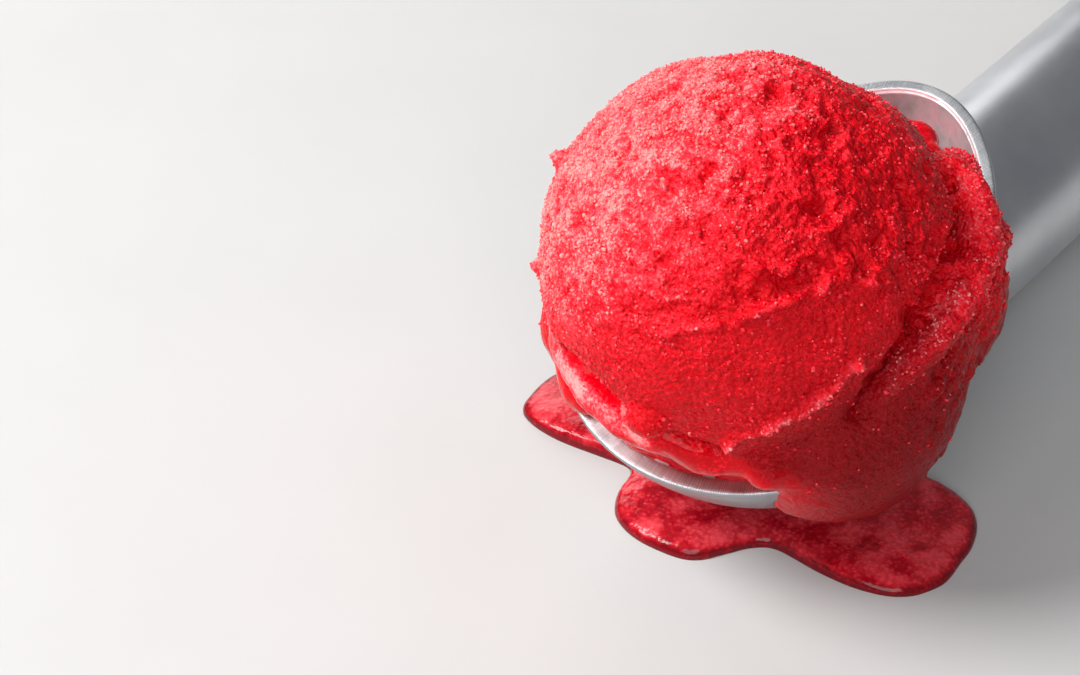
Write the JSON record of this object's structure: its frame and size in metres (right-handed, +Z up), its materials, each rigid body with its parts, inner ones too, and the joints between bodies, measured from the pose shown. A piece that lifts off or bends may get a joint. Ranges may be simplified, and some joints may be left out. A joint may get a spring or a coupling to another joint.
{
  "type": "sorbet scoop",
  "caption": "Ice cream dipper lying down with a thick round handle, its bowl filled by a rough ball of red sorbet that overflows the rim and melts into a thin puddle.",
  "frame": {"origin": "middle of the object's base, on the surface that it lies on", "axes": "+X along the handle, away from the bowl; +Z up; +Y across, to the side of the smaller overflow"},
  "size_m": [0.1843, 0.0684, 0.0683],
  "materials": {
    "cast_aluminium": "satin, smooth casting with a ground rim",
    "red_sorbet": "granular frozen ice, frosty on top, wet at the edge",
    "melted_sorbet": "wet, glossy and slightly foamy"
  },
  "bodies": {
    "root": {"dipper": "cast_aluminium", "sorbet": "red_sorbet", "melt_puddle": "melted_sorbet"}
  },
  "joints": []
}
